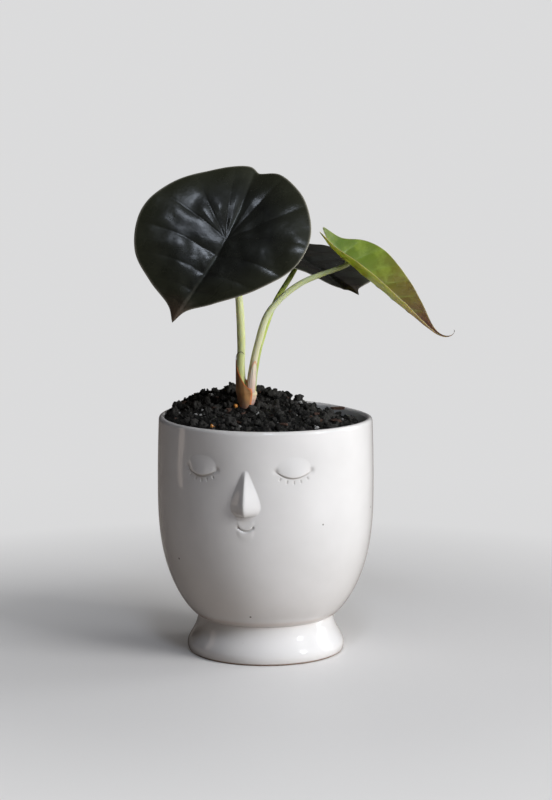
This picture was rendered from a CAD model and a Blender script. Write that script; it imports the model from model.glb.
"""The looks of a young potted alocasia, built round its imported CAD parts.

Metres, +Z up. The pot's foot stands at the origin and its relief face looks along -Y. Sizes
that shape a CAD part are repeated here, so that each fine piece lies where its part does.
"""

import math
import random

import bmesh
import bpy
import numpy as np
from mathutils import Matrix, Vector, noise
from mathutils.geometry import interpolate_bezier


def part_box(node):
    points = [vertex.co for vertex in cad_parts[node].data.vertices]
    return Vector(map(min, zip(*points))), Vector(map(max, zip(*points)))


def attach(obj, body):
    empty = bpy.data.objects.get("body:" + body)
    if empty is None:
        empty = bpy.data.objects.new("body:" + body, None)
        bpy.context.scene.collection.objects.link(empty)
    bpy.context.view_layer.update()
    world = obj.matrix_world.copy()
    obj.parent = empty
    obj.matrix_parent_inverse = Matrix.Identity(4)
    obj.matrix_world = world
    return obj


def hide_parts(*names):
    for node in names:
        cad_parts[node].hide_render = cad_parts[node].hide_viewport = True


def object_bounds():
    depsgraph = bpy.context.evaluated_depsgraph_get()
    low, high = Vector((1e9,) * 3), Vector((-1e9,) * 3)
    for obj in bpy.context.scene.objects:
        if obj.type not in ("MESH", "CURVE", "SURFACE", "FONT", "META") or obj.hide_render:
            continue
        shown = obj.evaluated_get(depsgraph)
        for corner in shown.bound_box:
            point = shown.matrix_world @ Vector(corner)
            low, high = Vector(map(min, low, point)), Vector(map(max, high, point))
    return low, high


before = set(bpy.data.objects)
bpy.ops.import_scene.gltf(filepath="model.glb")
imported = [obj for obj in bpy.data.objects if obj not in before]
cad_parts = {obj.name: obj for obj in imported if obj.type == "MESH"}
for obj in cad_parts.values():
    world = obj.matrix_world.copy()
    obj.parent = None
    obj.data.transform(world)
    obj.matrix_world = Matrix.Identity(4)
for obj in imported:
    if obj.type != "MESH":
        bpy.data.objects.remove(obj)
cad_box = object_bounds()

# ---- sizes shared with the CAD ----

POT_HEIGHT = 0.1140
RIM_RADIUS = 0.0513
BELLY_RADIUS = 0.0520
BELLY_HEIGHT = 0.0800
NECK_RADIUS = 0.0324
NECK_HEIGHT = 0.0175
FOOT_RADIUS = 0.0378
FOOT_ROLL_HEIGHT = 0.0032
FOOT_EDGE_RADIUS = 0.0366
BOWL_SWEEP = 2.6
BOWL_ROUND = 0.78
FOOT_CURVE = ((0.28, 0.39), (0.86, 0.80))
FOOT_ROLL = (0.45, 0.18)
WALL_AT_RIM = 0.0030
WALL_AT_NECK = 0.0040
INNER_FLOOR = 0.0055
INNER_FILLET = 0.0060

FIT_GAP = 0.0003
SOIL_BELOW_RIM = 0.0019
SOIL_TILT = 0.035
SOIL_CROWN = 0.0040
MOUND_AT = (-0.0180, 0.0240)
MOUND_HEIGHT = 0.0075
MOUND_REACH = (0.0210, 0.0130)
LUMP_HEIGHT = 0.0004
LUMP_PITCH = 0.0170
LUMP_PHASE = 1.0

COLLAR_AT = (-0.0088, -0.0016)
STEM_NECK_RADIUS = 0.0029
STEM_HEAD_RADIUS = 0.0047
STEM_HEAD = 0.0080
FRONT_STALK_RADII = (0.00205, 0.00185, 0.00150)
FRONT_STALK = (
    (-0.0023, -0.0003, 0.0083),
    (-0.0025, -0.0025, 0.0200),
    (-0.0016, -0.0056, 0.0330),
    (-0.0010, -0.0140, 0.0540),
    (-0.0014, -0.0250, 0.0720),
)
BACK_STALK_RADII = (0.00140, 0.00135, 0.00115)
BACK_STALK = (
    (0.0024, 0.0025, 0.0083),
    (0.0034, 0.0036, 0.0180),
    (0.0057, 0.0061, 0.0311),
    (0.0105, 0.0140, 0.0480),
    (0.0169, 0.0255, 0.0610),
)
YOUNG_STALK_RADII = (0.00180, 0.00160, 0.00105)
YOUNG_STALK = (
    (0.0018, -0.0012, 0.0083),
    (0.0028, -0.0016, 0.0180),
    (0.0060, -0.0021, 0.0322),
    (0.0116, -0.0020, 0.0472),
    (0.0254, 0.0016, 0.0600),
)
STALK_STRAIGHT = 0.0030
STALK_END_BELOW = 0.0016

BLADE_THICKNESS = 0.0007
ROUND_LEFT = (
    (0.0070, 0.0460),
    (0.0120, 0.0390),
    (0.0240, 0.0320),
    (0.0360, 0.0220),
    (0.0420, 0.0040),
    (0.0360, -0.0140),
    (0.0220, -0.0300),
    (0.0090, -0.0405),
    (0.0025, -0.0395),
)
ROUND_RIGHT = (
    (0.0070, 0.0460),
    (0.0025, 0.0380),
    (-0.0080, 0.0305),
    (-0.0240, 0.0175),
    (-0.0365, 0.0000),
    (-0.0355, -0.0170),
    (-0.0235, -0.0332),
    (-0.0080, -0.0415),
    (0.0025, -0.0395),
)
YOUNG_HALF = (
    (0.0000, 0.0650),
    (0.0016, 0.0520),
    (0.0059, 0.0410),
    (0.0099, 0.0300),
    (0.0125, 0.0180),
    (0.0131, 0.0080),
    (0.0106, -0.0010),
    (0.0055, -0.0095),
    (0.0032, -0.0195),
    (0.0006, -0.0135),
)
FRONT_LEAF = {
    "joins_at": (-0.0027, -0.0361, 0.0842),
    "heading": -128.5,
    "pitch": -54.8,
    "roll": -35.4,
    "sway": 0.0070,
    "fold": 9.0,
    "edge_drop": 0.0030,
    "back_bend": 16.0,
    "tip_bend": -20.0,
    "tip_hook": 0.0,
}
BACK_LEAF = {
    "joins_at": (0.0198, 0.0341, 0.0700),
    "heading": -44.0,
    "pitch": -16.0,
    "roll": -7.5,
    "sway": -0.0040,
    "fold": 6.0,
    "edge_drop": 0.0020,
    "back_bend": 8.0,
    "tip_bend": -10.0,
    "tip_hook": 0.0,
}
YOUNG_LEAF = {
    "joins_at": (0.0480, 0.0068, 0.0712),
    "heading": 7.1,
    "pitch": -39.5,
    "roll": 22.0,
    "sway": 0.0000,
    "fold": 38.0,
    "edge_drop": 0.0000,
    "back_bend": -30.0,
    "tip_bend": 0.0,
    "tip_hook": 130.0,
}
BACK_LEAF_SCALE = 0.92
MIDRIB_SOFTNESS = 0.0015
HOOK_LENGTH = 0.0140

# ---- sizes of the fine detail ----

FACE_HALF_ANGLE = 42.0
FACE_STEP = 0.24  # degrees between columns across the face
REST_STEP = 1.5  # and round the rest of the pot
FACE_LOW = 0.0620
FACE_HIGH = 0.1030
FACE_ROWS = 150

NOSE_TOP = 0.0960
NOSE_BOTTOM = 0.0742
NOSE_HALF_TOP = 0.0012
NOSE_HALF = 0.0082
NOSE_OUT = 0.0074
NOSE_SOFTNESS = 0.10  # how far its ridge is rounded, as a share of its half width
EYE_ANGLE = 25.2
EYE_HEIGHT = 0.0952
EYE_HALF = 0.0086
EYE_SAG = 0.0030
LID_RISE = 0.0080
LID_OUT = 0.0011
SOCKET_DEPTH = 0.0008
SOCKET_REACH = (1.5, 0.0100)  # half widths of the eye across, and metres up
EYE_LINE_DEPTH = 0.00042
EYE_LINE_WIDTH = 0.00042
CORNER_DEPTH = 0.0004
CORNER_HEIGHT = 0.0013
LASH_LENGTH = 0.0020
LASH_PITCH = 0.0031
LASH_FAN = 0.22
LASH_WIDTH = 0.00036
LASH_START = 0.0011  # how far under the eye's line a lash starts
LASH_FADES = (0.0004, 0.0006)  # at its upper and its lower end
LASHES = (-2, -1, 0, 1, 2)
MOUTH_HEIGHT = 0.0692
MOUTH_HALF = 0.0037
MOUTH_SAG = 0.0017
MOUTH_LINE_DEPTH = 0.0006
MOUTH_LINE_WIDTH = 0.00050
MOUTH_END_DEPTH = 0.0004
LIP_OUT = 0.0002
FOOT_RECESS = 0.0006
FOOT_RING_WIDTH = 0.0050
FOOT_RECESS_STEP = 0.0006
SPECK_CELLS = 230.0
RIM_DIP = 0.0012
RIM_DIP_ANGLE = 128.0
RIM_DIP_SPREAD = 38.0
OUT_OF_ROUND = 0.0003
BARE_EDGE = (0.0006, 0.0011)  # the glaze stops between these heights
NECK_BAND_HEIGHT = 0.0190  # where the glaze runs thin above the neck
NECK_BAND_WIDTH = 0.0016

SOIL_RINGS = 130
SOIL_COLUMNS = 400
COARSE_LUMP = 0.0011
COARSE_PITCH = 0.0065
FINE_LUMP = 0.0006
FINE_PITCH = 0.0021
CLING_HEIGHT = 0.0005  # the soil climbs the stem a little
CLING_REACH = 0.0050
HOLLOW_AT = (0.0330, 0.0260)  # the soil has sunk here, at the back right
HOLLOW_REACH = 0.0170
HOLLOW_DEPTH = 0.0042
SOIL_EDGE_BELOW_RIM = 0.0065
CLEAR_OF_STEM = 0.0058
CHIP_SQUARENESS = 0.45
CHIP_TAPER = 0.45
# How many crumbs of each sort, their least and greatest size, and their balls' detail.
CRUMB_SORTS = ((62, 0.0034, 0.0058, 3), (170, 0.0018, 0.0036, 3), (560, 0.0008, 0.0020, 2))
PERLITE_GRAINS = 60
PERLITE_SIZE = (0.0007, 0.0016)
BARK_CHIPS = 34
CHIP_LENGTH = (0.0022, 0.0050)
CHIP_WIDTH_SHARE = 0.45
CHIP_THICKNESS = 0.0009
LARGE_CHIP_THICKNESS = 0.0013
LOOSE_OF_EACH = 7
LOOSE_SINK = Vector((0.0, 0.0, 0.0006))

LEAF_SPOKES = 360
LEAF_RINGS = 64
VEIN_POINTS = 28
MIDRIB_SUNK = 0.00034
LATERAL_SUNK = 0.00014
PILLOW_REACH = 0.0030
WAVE_PITCH = 0.0130
RIM_ROUNDING = 0.00012
STALK_SIDES = 28
STALK_ROWS = 120
STALK_BURIED = 0.0022
STEM_SIDES = 64
STEM_ROWS = 90
TUBER = ((0.0042, -0.0045), (0.0060, -0.0100), (0.0040, -0.0148), (0.0, -0.0160))
SCAR_PITCH = 0.0023
SCAR_WIDTH = 0.00035
SHEATH_COLUMNS = 72
SHEATH_ROWS = 48
SHEATH_THICKNESS = (0.00034, 0.00020)  # at its foot and at its top
OUTER_SHEATH_LEANS_UNTIL = 0.0235
HOOD_AT = ((178, 0.0225), (200, 0.0252), (240, 0.0270), (285, 0.0278), (330, 0.0266))
HOOD_RADIUS = 0.00020
HOOD_POINTS = 60
HOOD_SIDES = 12

BACKDROP_COLOUR = (0.71, 0.71, 0.715)
FLOOR_RADIUS = 40.0
FLOOR_BELOW = 0.00005
FLOOR_BOUNCE = (0.48, 0.43, 0.39)
FLOOR_FADE = ((0.0022, 0.0), (0.0080, 1.0))

random.seed(7)


# ---- shared helpers ----


def mix(first, second, share):
    return first + (second - first) * share


def ease(low, high, value):
    """0 below low, 1 above high, and a smooth step between."""
    share = np.clip((value - low) / (high - low), 0.0, 1.0)
    return share * share * (3.0 - 2.0 * share)


def bell(value, width):
    return np.exp(-((value / width) ** 2))


def smooth_path(points, count):
    """Points evenly counted along a smooth curve through the given points, as an array."""
    points = [Vector(point) for point in points]
    spans = len(points) - 1
    tangents = []
    for i, point in enumerate(points):
        before = points[max(i - 1, 0)]
        after = points[min(i + 1, spans)]
        tangents.append((after - before) * (0.5 if 0 < i < spans else 1.0))
    fine = [points[0]]
    for i in range(spans):
        first, last = points[i], points[i + 1]
        handles = (first + tangents[i] / 3, last - tangents[i + 1] / 3)
        fine += interpolate_bezier(first, *handles, last, 33)[1:]
    fine = np.array(fine)
    lengths = np.concatenate([[0.0], np.cumsum(np.linalg.norm(np.diff(fine, axis=0), axis=1))])
    wanted = np.linspace(0.0, lengths[-1], count)
    return np.stack([np.interp(wanted, lengths, fine[:, k]) for k in range(3)], axis=1)


def unit(vectors):
    return vectors / np.maximum(np.linalg.norm(vectors, axis=-1, keepdims=True), 1e-12)


def lumpiness(place, pitch, octaves=4, seed=0.0):
    """Fractal noise about zero at a place, with lumps of about this pitch."""
    return noise.fractal(Vector(place) / pitch + Vector((seed, seed, seed)), 1.0, 2.0, octaves)


def add_object(name, mesh, material, replaced=()):
    """A piece that rides on the one body and stands for the CAD nodes named."""
    made = bpy.data.objects.new(name, mesh)
    bpy.context.scene.collection.objects.link(made)
    mesh.materials.append(material)
    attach(made, "root")
    if replaced:
        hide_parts(*replaced)
    return made


def grid_mesh(name, grid, attributes=None, sharp=50.0):
    """A mesh from rows of points. Each row closes on itself, and its double points are merged."""
    rows, columns = grid.shape[:2]
    index = np.arange(rows * columns).reshape(rows, columns)
    right = np.roll(index, -1, axis=1)
    quads = np.stack([index[:-1], right[:-1], right[1:], index[1:]], axis=-1)
    mesh = bpy.data.meshes.new(name)
    mesh.from_pydata(grid.reshape(-1, 3).tolist(), [], quads.reshape(-1, 4).tolist())
    for label, values in (attributes or {}).items():
        layer = mesh.attributes.new(label, "FLOAT", "POINT")
        layer.data.foreach_set("value", np.asarray(values, np.float32).ravel())
    bm = bmesh.new()
    bm.from_mesh(mesh)
    bmesh.ops.remove_doubles(bm, verts=bm.verts, dist=1e-7)
    bmesh.ops.dissolve_degenerate(bm, edges=bm.edges, dist=1e-8)
    bmesh.ops.recalc_face_normals(bm, faces=bm.faces)
    bm.to_mesh(mesh)
    bm.free()
    mesh.shade_smooth()
    mesh.set_sharp_from_angle(angle=math.radians(sharp))
    return mesh


# ---- materials ----


class Nodes:
    """A node tree, with short calls for the nodes that the looks need."""

    def __init__(self, tree):
        self.tree = tree

    def feed(self, socket, value):
        """Links a node's output, or sets a plain value."""
        if isinstance(value, bpy.types.NodeSocket):
            self.tree.links.new(value, socket)
        elif hasattr(value, "__len__") and len(value) == 3 and socket.type == "RGBA":
            socket.default_value = (*value, 1.0)
        else:
            socket.default_value = value

    def node(self, kind, inputs, output=0, **settings):
        """One output of a new node. Its inputs are fed by name or by number."""
        node = self.tree.nodes.new(f"ShaderNode{kind}")
        for name, value in settings.items():
            setattr(node, name, value)
        for name, value in inputs.items():
            self.feed(node.inputs[name], value)
        return node.outputs[output]

    def maths(self, operation, *values):
        return self.node("Math", dict(enumerate(values)), operation=operation)

    def ramp(self, value, *stops):
        """A colour or a grey value from stops of (position, colour or number)."""
        ramp = self.tree.nodes.new("ShaderNodeValToRGB")
        elements = ramp.color_ramp.elements
        while len(elements) < len(stops):
            elements.new(1.0)
        for element, (position, colour) in zip(elements, stops):
            element.position = position
            colour = colour if hasattr(colour, "__len__") else (colour, colour, colour)
            element.color = (*colour, 1.0)
        self.feed(ramp.inputs["Fac"], value)
        return ramp.outputs["Color"]

    def seen(self):
        """One for what the camera sees directly, and nought in reflections and bounced light."""
        return self.node("LightPath", {}, "Is Camera Ray")


class Shading(Nodes):
    """A material with one Principled shader and short calls for its textures."""

    def __init__(self, name, **sockets):
        self.material = bpy.data.materials.new(name)
        self.material.use_nodes = True
        super().__init__(self.material.node_tree)
        self.shader = self.tree.nodes["Principled BSDF"]
        self.place = self.node("TexCoord", {}, "Object")
        for socket, value in sockets.items():
            self.shader.inputs[socket.replace("_", " ")].default_value = value

    def link(self, socket, value):
        self.feed(self.shader.inputs[socket], value)

    def attribute(self, name):
        return self.node("Attribute", {}, "Fac", attribute_name=name)

    def noise(self, scale, detail=4.0, roughness=0.55, place=None, distortion=0.0):
        inputs = {"Scale": scale, "Detail": detail, "Roughness": roughness}
        inputs["Distortion"] = distortion
        inputs["Vector"] = place or self.place
        return self.node("TexNoise", inputs, "Fac")

    def cells(self, scale, output="Distance"):
        return self.node("TexVoronoi", {"Scale": scale, "Vector": self.place}, output)

    def stretched(self, scale):
        """The object's coordinates scaled along each axis."""
        return self.node("Mapping", {"Scale": scale, "Vector": self.place}, "Vector")

    def blend(self, share, first, second):
        return self.node("Mix", {"Factor": share, 6: first, 7: second}, 2, data_type="RGBA")

    def bump(self, value, distance, strength=1.0, after=None):
        inputs = {"Distance": distance, "Strength": strength, "Height": value}
        if after:
            inputs["Normal"] = after
        return self.node("Bump", inputs, "Normal")


def glaze_material():
    """White glaze: milky, faintly uneven, with iron specks, and bare clay at the foot's edge."""
    made = Shading("white_glaze_fine", Coat_Weight=0.5, Coat_Roughness=0.04, IOR=1.52)
    cloud = made.noise(28.0, 3.0)
    white = made.ramp(cloud, (0.30, (0.76, 0.755, 0.75)), (0.70, (0.83, 0.825, 0.825)))
    pooled = made.blend(made.attribute("groove"), white, (0.34, 0.30, 0.27))
    chosen = made.ramp(made.cells(SPECK_CELLS, "Color"), (0.925, 0.0), (0.93, 1.0))
    spot = made.ramp(made.cells(SPECK_CELLS), (0.10, 1.0), (0.15, 0.0))
    speck = made.maths("MULTIPLY", spot, chosen)
    specked = made.blend(speck, pooled, (0.075, 0.060, 0.050))
    thin = made.attribute("thin")
    warmed = made.blend(thin, specked, (0.55, 0.44, 0.37))
    clay = made.ramp(made.noise(900.0, 5.0), (0.3, (0.20, 0.125, 0.08)), (0.7, (0.36, 0.25, 0.17)))
    bare = made.attribute("bare")
    made.link("Base Color", made.blend(bare, warmed, clay))
    gloss = made.ramp(made.noise(60.0, 4.0), (0.3, 0.09), (0.7, 0.15))
    made.link("Roughness", made.blend(bare, gloss, (0.75, 0.75, 0.75)))
    ripple = made.bump(made.noise(95.0, 2.0), 0.00022, 0.35)
    made.link("Normal", made.bump(made.noise(1400.0, 4.0), 0.00005, 0.12, ripple))
    return made.material


def soil_material():
    """Black peat: each crumb its own grey, with fine pale flecks and a very rough grain."""
    made = Shading("potting_soil_fine", Roughness=0.90, Specular_IOR_Level=0.30)
    patches = made.maths("ADD", made.noise(420.0, 6.0, 0.65), made.attribute("shade"))
    colour = made.ramp(
        patches,
        (0.30, (0.0045, 0.0045, 0.0042)),
        (0.80, (0.0140, 0.0136, 0.0125)),
        (1.30, (0.0370, 0.0355, 0.0330)),
    )
    flecks = made.ramp(made.noise(1900.0, 4.0, 0.6), (0.60, 0.0), (0.68, 0.7))
    made.link("Base Color", made.blend(flecks, colour, (0.120, 0.118, 0.110)))
    fine = made.bump(made.noise(2600.0, 6.0, 0.7), 0.00025, 1.0)
    made.link("Normal", made.bump(made.noise(700.0, 5.0, 0.7), 0.0007, 0.9, fine))
    return made.material


def perlite_material():
    """Grey, chalky grains full of small pores."""
    made = Shading("perlite_fine", Roughness=0.92)
    patches = made.noise(900.0, 5.0)
    colour = made.ramp(patches, (0.32, (0.11, 0.11, 0.105)), (0.68, (0.38, 0.38, 0.375)))
    made.link("Base Color", colour)
    pores = made.ramp(made.cells(2200.0), (0.10, 0.0), (0.45, 1.0))
    made.link("Normal", made.bump(pores, 0.00018, 0.9))
    return made.material


def bark_material():
    """Dark brown splinters with fibres along their length."""
    made = Shading("bark_fine", Roughness=0.85)
    fibres = made.noise(300.0, 5.0, 0.6, made.stretched((1.0, 5.0, 5.0)), 1.2)
    shade = made.ramp(
        fibres,
        (0.28, (0.018, 0.011, 0.008)),
        (0.52, (0.070, 0.040, 0.030)),
        (0.75, (0.190, 0.120, 0.095)),
    )
    made.link("Base Color", shade)
    made.link("Normal", made.bump(fibres, 0.0004, 0.9))
    return made.material


def bead_material():
    """Mottled amber resin."""
    made = Shading("amber_bead_fine", Roughness=0.22, Coat_Weight=0.6, Coat_Roughness=0.08)
    colour = made.ramp(
        made.noise(1500.0, 4.0),
        (0.30, (0.36, 0.115, 0.020)),
        (0.52, (0.62, 0.25, 0.055)),
        (0.75, (0.80, 0.42, 0.13)),
    )
    made.link("Base Color", colour)
    made.link("Normal", made.bump(made.noise(3500.0, 3.0), 0.00006, 0.6))
    return made.material


def stalk_material(name, stops):
    """Waxy stalk: coloured from its foot to its leaf, with pale streaks and faint mottling."""
    made = Shading(name, Subsurface_Weight=0.35, Subsurface_Scale=0.0025)
    made.link("Subsurface Radius", (1.0, 0.9, 0.35))
    base = made.ramp(made.attribute("along"), *stops)
    streaks = made.noise(900.0, 4.0, 0.6, made.stretched((1.0, 1.0, 0.07)))
    streaked = made.blend(made.ramp(streaks, (0.42, 0.0), (0.75, 0.45)), base, (0.72, 0.78, 0.50))
    mottling = made.noise(2400.0, 3.0, 0.5, made.stretched((1.0, 1.0, 0.35)))
    flecks = made.ramp(mottling, (0.62, 0.0), (0.76, 0.35))
    made.link("Base Color", made.blend(flecks, streaked, (0.17, 0.26, 0.06)))
    made.link("Roughness", made.ramp(streaks, (0.3, 0.32), (0.7, 0.46)))
    grooves = made.noise(420.0, 1.0, 0.5, made.stretched((1.0, 1.0, 0.07)))
    made.link("Normal", made.bump(grooves, 0.00006, 0.5))
    return made.material


def stem_material():
    """Pinkish stem, darker in the soil and greener at its head, with fine streaks."""
    made = Shading("pink_stem_fine", Subsurface_Weight=0.12, Subsurface_Scale=0.001, Roughness=0.5)
    made.link("Subsurface Radius", (1.0, 0.6, 0.45))
    base = made.ramp(
        made.attribute("along"),
        (0.00, (0.090, 0.052, 0.046)),
        (0.30, (0.320, 0.190, 0.180)),
        (0.55, (0.560, 0.380, 0.320)),
        (0.80, (0.680, 0.500, 0.360)),
        (1.00, (0.680, 0.600, 0.360)),
    )
    streaks = made.noise(700.0, 4.0, 0.6, made.stretched((1.0, 1.0, 0.10)))
    shown = made.ramp(streaks, (0.45, 0.0), (0.8, 0.5))
    made.link("Base Color", made.blend(shown, base, (0.23, 0.13, 0.14)))
    made.link("Normal", made.bump(streaks, 0.0002, 0.6))
    return made.material


def sheath_material(name, foot, middle, top, margin):
    """Dry or fresh sheath: fibres along its height, with a coloured free margin."""
    made = Shading(name, Roughness=0.6, Subsurface_Weight=0.10, Subsurface_Scale=0.0008)
    base = made.ramp(made.attribute("along"), (0.0, foot), (0.45, middle), (1.0, top))
    fibres = made.noise(1100.0, 5.0, 0.6, made.stretched((1.0, 1.0, 0.06)))
    darker = tuple(value * 0.45 for value in middle)
    fibrous = made.blend(made.ramp(fibres, (0.40, 0.0), (0.75, 0.6)), base, darker)
    made.link("Base Color", made.blend(made.attribute("margin"), fibrous, margin))
    made.link("Normal", made.bump(fibres, 0.00018, 0.8))
    return made.material


def dark_leaf_material():
    """Near-black leathery leaf with a pale midrib, a thin pale margin and a brown tip."""
    made = Shading(
        "dark_leaf_fine", Coat_Weight=0.12, Coat_Roughness=0.22, Specular_IOR_Level=0.42
    )
    mottled = made.noise(120.0, 5.0, 0.6)
    dark = made.ramp(mottled, (0.30, (0.0075, 0.0085, 0.0075)), (0.72, (0.0170, 0.0190, 0.0160)))
    olive = made.ramp(made.attribute("rim"), (0.55, 0.0), (1.0, 0.75))
    body = made.blend(olive, dark, (0.024, 0.026, 0.014))
    tip = made.ramp(made.attribute("tip"), (0.0, 0.0), (0.7, 0.55), (1.0, 1.0))
    tipped = made.blend(tip, body, (0.070, 0.048, 0.034))
    patchy = made.ramp(made.noise(90.0, 2.0), (0.46, 0.06), (0.60, 0.62))
    rib = made.maths("MULTIPLY", made.attribute("midrib"), patchy)
    ribbed = made.blend(rib, tipped, (0.120, 0.140, 0.125))
    laterals = made.maths("MULTIPLY", made.attribute("vein"), 0.30)
    veined = made.blend(laterals, ribbed, (0.006, 0.006, 0.006))
    edged = made.blend(made.attribute("edge"), veined, (0.26, 0.25, 0.20))
    specks = made.ramp(made.cells(230.0), (0.020, 1.0), (0.035, 0.0))
    specked = made.blend(specks, edged, (0.13, 0.13, 0.12))
    under_mottle = made.noise(160.0, 4.0)
    under = made.ramp(under_mottle, (0.3, (0.050, 0.060, 0.036)), (0.7, (0.085, 0.100, 0.060)))
    under_veins = made.maths("MAXIMUM", made.attribute("midrib"), made.attribute("vein"))
    under_veined = made.blend(under_veins, under, (0.200, 0.225, 0.130))
    made.link("Base Color", made.blend(made.attribute("under"), specked, under_veined))
    sheen = made.ramp(made.noise(70.0, 3.0), (0.30, 0.23), (0.70, 0.34))
    made.link("Roughness", made.blend(made.attribute("under"), sheen, (0.55, 0.55, 0.55)))
    made.link("Normal", made.bump(made.noise(150.0, 2.0, 0.5), 0.00060, 0.45))
    return made.material


def young_leaf_material():
    """Glossy green leaf that turns copper and then red-brown towards its tip."""
    made = Shading("young_leaf_fine", Coat_Weight=0.25, Coat_Roughness=0.12)
    made.link("Subsurface Weight", 0.45)
    made.link("Subsurface Scale", 0.0030)
    made.link("Subsurface Radius", (1.0, 0.8, 0.25))
    wander = made.maths("MULTIPLY", made.maths("SUBTRACT", made.noise(60.0, 4.0), 0.5), 0.22)
    along = made.maths("ADD", made.attribute("along"), wander)
    upper = made.ramp(
        along,
        (0.00, (0.150, 0.190, 0.095)),
        (0.14, (0.115, 0.185, 0.026)),
        (0.36, (0.125, 0.180, 0.014)),
        (0.50, (0.135, 0.125, 0.016)),
        (0.68, (0.105, 0.068, 0.020)),
        (0.84, (0.070, 0.024, 0.016)),
        (1.00, (0.050, 0.010, 0.010)),
    )
    lower = made.ramp(
        along,
        (0.00, (0.400, 0.470, 0.270)),
        (0.20, (0.560, 0.760, 0.110)),
        (0.50, (0.600, 0.740, 0.100)),
        (0.68, (0.520, 0.440, 0.160)),
        (0.86, (0.280, 0.140, 0.095)),
        (1.00, (0.120, 0.030, 0.028)),
    )
    fresh = made.ramp(along, (0.45, 0.85), (0.70, 0.0))
    keel = made.maths("MULTIPLY", made.attribute("keel"), fresh)
    keeled = made.blend(keel, lower, (0.62, 0.74, 0.10))
    body = made.blend(made.attribute("under"), upper, keeled)
    veins = made.maths("MULTIPLY", made.attribute("vein"), 0.45)
    dapple = made.ramp(made.noise(140.0, 5.0, 0.6), (0.50, 0.0), (0.66, 0.55))
    dappled = made.blend(made.maths("MULTIPLY", dapple, fresh), body, (0.300, 0.390, 0.060))
    veined = made.blend(veins, dappled, (0.190, 0.270, 0.050))
    rib_fades = made.ramp(along, (0.5, 0.9), (0.85, 0.0))
    pale_rib = made.maths("MULTIPLY", made.attribute("midrib"), rib_fades)
    ribbed = made.blend(pale_rib, veined, (0.520, 0.600, 0.280))
    made.link("Base Color", made.blend(made.attribute("edge"), ribbed, (0.420, 0.380, 0.220)))
    made.link("Roughness", made.ramp(made.noise(90.0, 3.0), (0.3, 0.17), (0.7, 0.30)))
    made.link("Normal", made.bump(made.noise(260.0, 2.0, 0.5), 0.00040, 0.35))
    return made.material


def floor_material():
    """A pale floor near the pot that fades into the plain backdrop further out."""
    made = Shading("pale_floor", Roughness=0.55)
    cloud = made.noise(3.0, 3.0)
    pale = made.ramp(cloud, (0.3, (0.84, 0.83, 0.82)), (0.7, (0.88, 0.87, 0.86)))
    seen = made.seen()
    made.link("Base Color", made.blend(seen, FLOOR_BOUNCE, pale))
    length = made.node("VectorMath", {0: made.place}, "Value", operation="LENGTH")
    far = made.ramp(made.maths("DIVIDE", length, FLOOR_RADIUS), *FLOOR_FADE)
    plain = made.node("Emission", {"Color": BACKDROP_COLOUR})
    share = made.maths("MULTIPLY", far, seen)
    surface = made.node("MixShader", {0: share, 1: made.shader.outputs[0], 2: plain})
    made.feed(made.tree.nodes["Material Output"].inputs["Surface"], surface)
    return made.material


# ---- pot ----


def bowl_radius(height):
    """The pot's outer radius above its neck."""
    rise = np.clip((height - BELLY_HEIGHT) / (POT_HEIGHT - BELLY_HEIGHT), 0.0, 1.0)
    fall = np.clip((BELLY_HEIGHT - height) / (BELLY_HEIGHT - NECK_HEIGHT), 0.0, 1.0)
    above = mix(BELLY_RADIUS, RIM_RADIUS, rise**2)
    below = mix(NECK_RADIUS, BELLY_RADIUS, (1 - fall**BOWL_SWEEP) ** BOWL_ROUND)
    return np.where(height >= BELLY_HEIGHT, above, below)


def inner_radius(height):
    """The hollow's radius: straight down below the neck."""
    height = np.maximum(height, NECK_HEIGHT)
    share = (POT_HEIGHT - height) / (POT_HEIGHT - NECK_HEIGHT)
    return bowl_radius(height) - mix(WALL_AT_RIM, WALL_AT_NECK, share)


def inner_profile(top, inset, rows):
    """The pot's hollow from the middle of its floor up to a height."""
    floor = INNER_FLOOR + inset
    side = float(inner_radius(0.0)) - inset
    profile = [(0.0, floor), (side - INNER_FILLET, floor)]
    for turn in np.linspace(0.0, math.pi / 2, 8)[1:]:
        out = side - INNER_FILLET + INNER_FILLET * math.sin(turn)
        profile.append((out, floor + INNER_FILLET * (1 - math.cos(turn))))
    for height in np.linspace(NECK_HEIGHT, top, rows):
        profile.append((float(inner_radius(height)) - inset, height))
    return profile


def lip_profile():
    """The rounded lip, from its inner side over the top to its outer side."""
    round_radius = WALL_AT_RIM / 2
    middle = RIM_RADIUS - round_radius
    level = POT_HEIGHT - round_radius
    turns = np.radians(np.linspace(172.0, 8.0, 14))
    return [(middle + round_radius * math.cos(t), level + round_radius * math.sin(t)) for t in turns]


def foot_profile():
    """The neck's flare, the foot's roll, the bare edge and the recessed underside."""
    flare = FOOT_RADIUS - NECK_RADIUS
    drop = NECK_HEIGHT - FOOT_ROLL_HEIGHT
    curve = [(NECK_RADIUS, NECK_HEIGHT, 0.0)]
    for out, down in FOOT_CURVE:
        curve.append((NECK_RADIUS + out * flare, NECK_HEIGHT - down * drop, 0.0))
    inwards, up = FOOT_ROLL
    curve.append((FOOT_RADIUS, FOOT_ROLL_HEIGHT, 0.0))
    curve.append((mix(FOOT_RADIUS, FOOT_EDGE_RADIUS, inwards), up * FOOT_ROLL_HEIGHT, 0.0))
    curve.append((FOOT_EDGE_RADIUS, 0.0, 0.0))
    profile = [(point[0], point[1]) for point in smooth_path(curve, 44)[1:]]
    inside = FOOT_EDGE_RADIUS - FOOT_RING_WIDTH
    profile += [(mix(FOOT_EDGE_RADIUS, inside, share), 0.0) for share in (0.3, 0.6, 0.9)]
    profile += [(inside - FOOT_RECESS_STEP * i, FOOT_RECESS * i / 3) for i in (1, 2, 3)]
    profile += [(inside * share, FOOT_RECESS) for share in (0.85, 0.6, 0.3, 0.0)]
    return profile


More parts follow.
